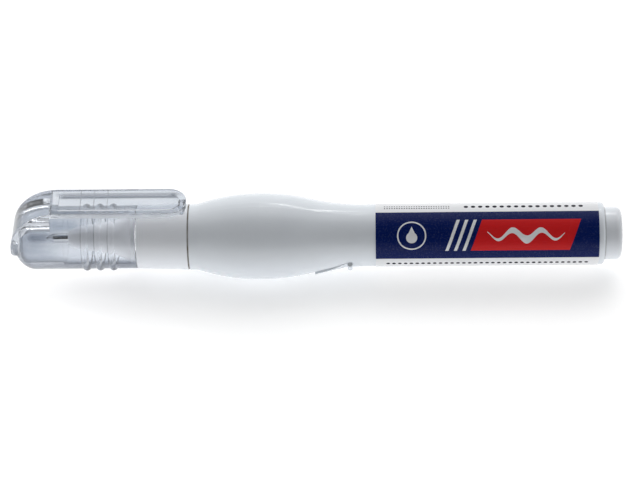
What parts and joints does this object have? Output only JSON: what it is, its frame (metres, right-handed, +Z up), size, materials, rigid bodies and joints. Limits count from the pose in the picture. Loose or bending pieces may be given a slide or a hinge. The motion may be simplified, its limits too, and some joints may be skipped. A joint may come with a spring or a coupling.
{
  "type": "correction pen",
  "caption": "Squeeze correction pen: white barrel with a bulb and a printed wrap, metal point with a sprung needle valve, and a clear ringed cap with a clip.",
  "frame": {"origin": "middle of the pen's length, at the lowest point of the bulb", "axes": "+X along the pen from its point to its rear end, +Z up through the clip"},
  "size_m": [0.1368, 0.0194, 0.0202],
  "materials": {
    "barrel_white": "satin",
    "label_film": "gloss",
    "plug_white": "gloss",
    "nose_white": "gloss",
    "tip_metal": "polished",
    "needle_steel": "ground",
    "valve_plastic": "matte",
    "spring_steel": "drawn wire",
    "ball_steel": "polished",
    "cap_clear": "clear"
  },
  "bodies": {
    "pen": {"barrel": "barrel_white", "label": "label_film", "end_plug": "plug_white", "nose": "nose_white", "metal_tip": "tip_metal", "valve_spring": "spring_steel", "spring_retainer": "valve_plastic"},
    "needle": {"valve_needle": "needle_steel", "valve_plunger": "valve_plastic"},
    "ball": {"mixing_ball": "ball_steel"},
    "cap": {"cap": "cap_clear"}
  },
  "joints": [
    {"name": "cap_pull", "type": "slide", "parent": "pen", "child": "cap", "axis": [-1, 0, 0], "range_m": [0, 0.036]},
    {"name": "needle_press", "type": "slide", "parent": "pen", "child": "needle", "axis": [1, 0, 0], "range_m": [0, 0.0004], "stiffness_N_per_m": 400, "deforming": ["valve_spring"]},
    {"name": "ball_roll", "type": "slide", "parent": "pen", "child": "ball", "axis": [1, 0, 0], "range_m": [-0.054, 0.021]}
  ]
}
